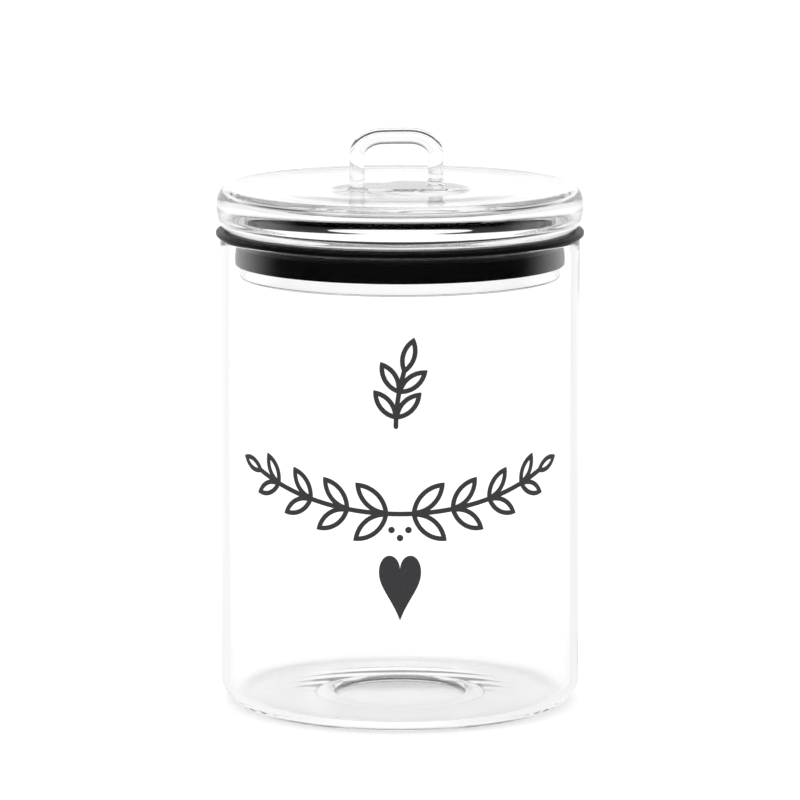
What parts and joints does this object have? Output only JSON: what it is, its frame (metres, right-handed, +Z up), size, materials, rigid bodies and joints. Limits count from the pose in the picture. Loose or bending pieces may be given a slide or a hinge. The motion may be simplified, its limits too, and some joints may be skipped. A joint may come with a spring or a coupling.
{
  "type": "storage jar",
  "caption": "Clear glass storage jar with a pushed-up floor, a hollow blown glass lid with a rod handle, a black seal round the lid's neck and a charcoal leaf print.",
  "frame": {"origin": "centre of the ring that the jar stands on, on the surface under it", "axes": "+Z up along the jar's axis, the printed side faces -Y, +X to the right of someone who looks at the print"},
  "size_m": [0.1022, 0.1022, 0.1612],
  "materials": {
    "glass": "clear, fire-polished edges",
    "seal": "black silicone, satin",
    "print": "matt charcoal enamel print"
  },
  "bodies": {
    "jar": {"jar_body": "glass", "print_heart": "print", "print_garland": "print", "print_sprig": "print"},
    "seal": {"seal_ring": "seal"},
    "lid": {"lid_shell": "glass", "lid_handle": "glass"}
  },
  "joints": [
    {"name": "lid_lift", "type": "slide", "parent": "jar", "child": "seal", "axis": [0, 0, 1], "range_m": [0, 0.11]},
    {"name": "lid_turn", "type": "hinge", "parent": "seal", "child": "lid", "pos_m": [0, 0, 0.14], "axis": [0, 0, 1], "continuous": true}
  ]
}
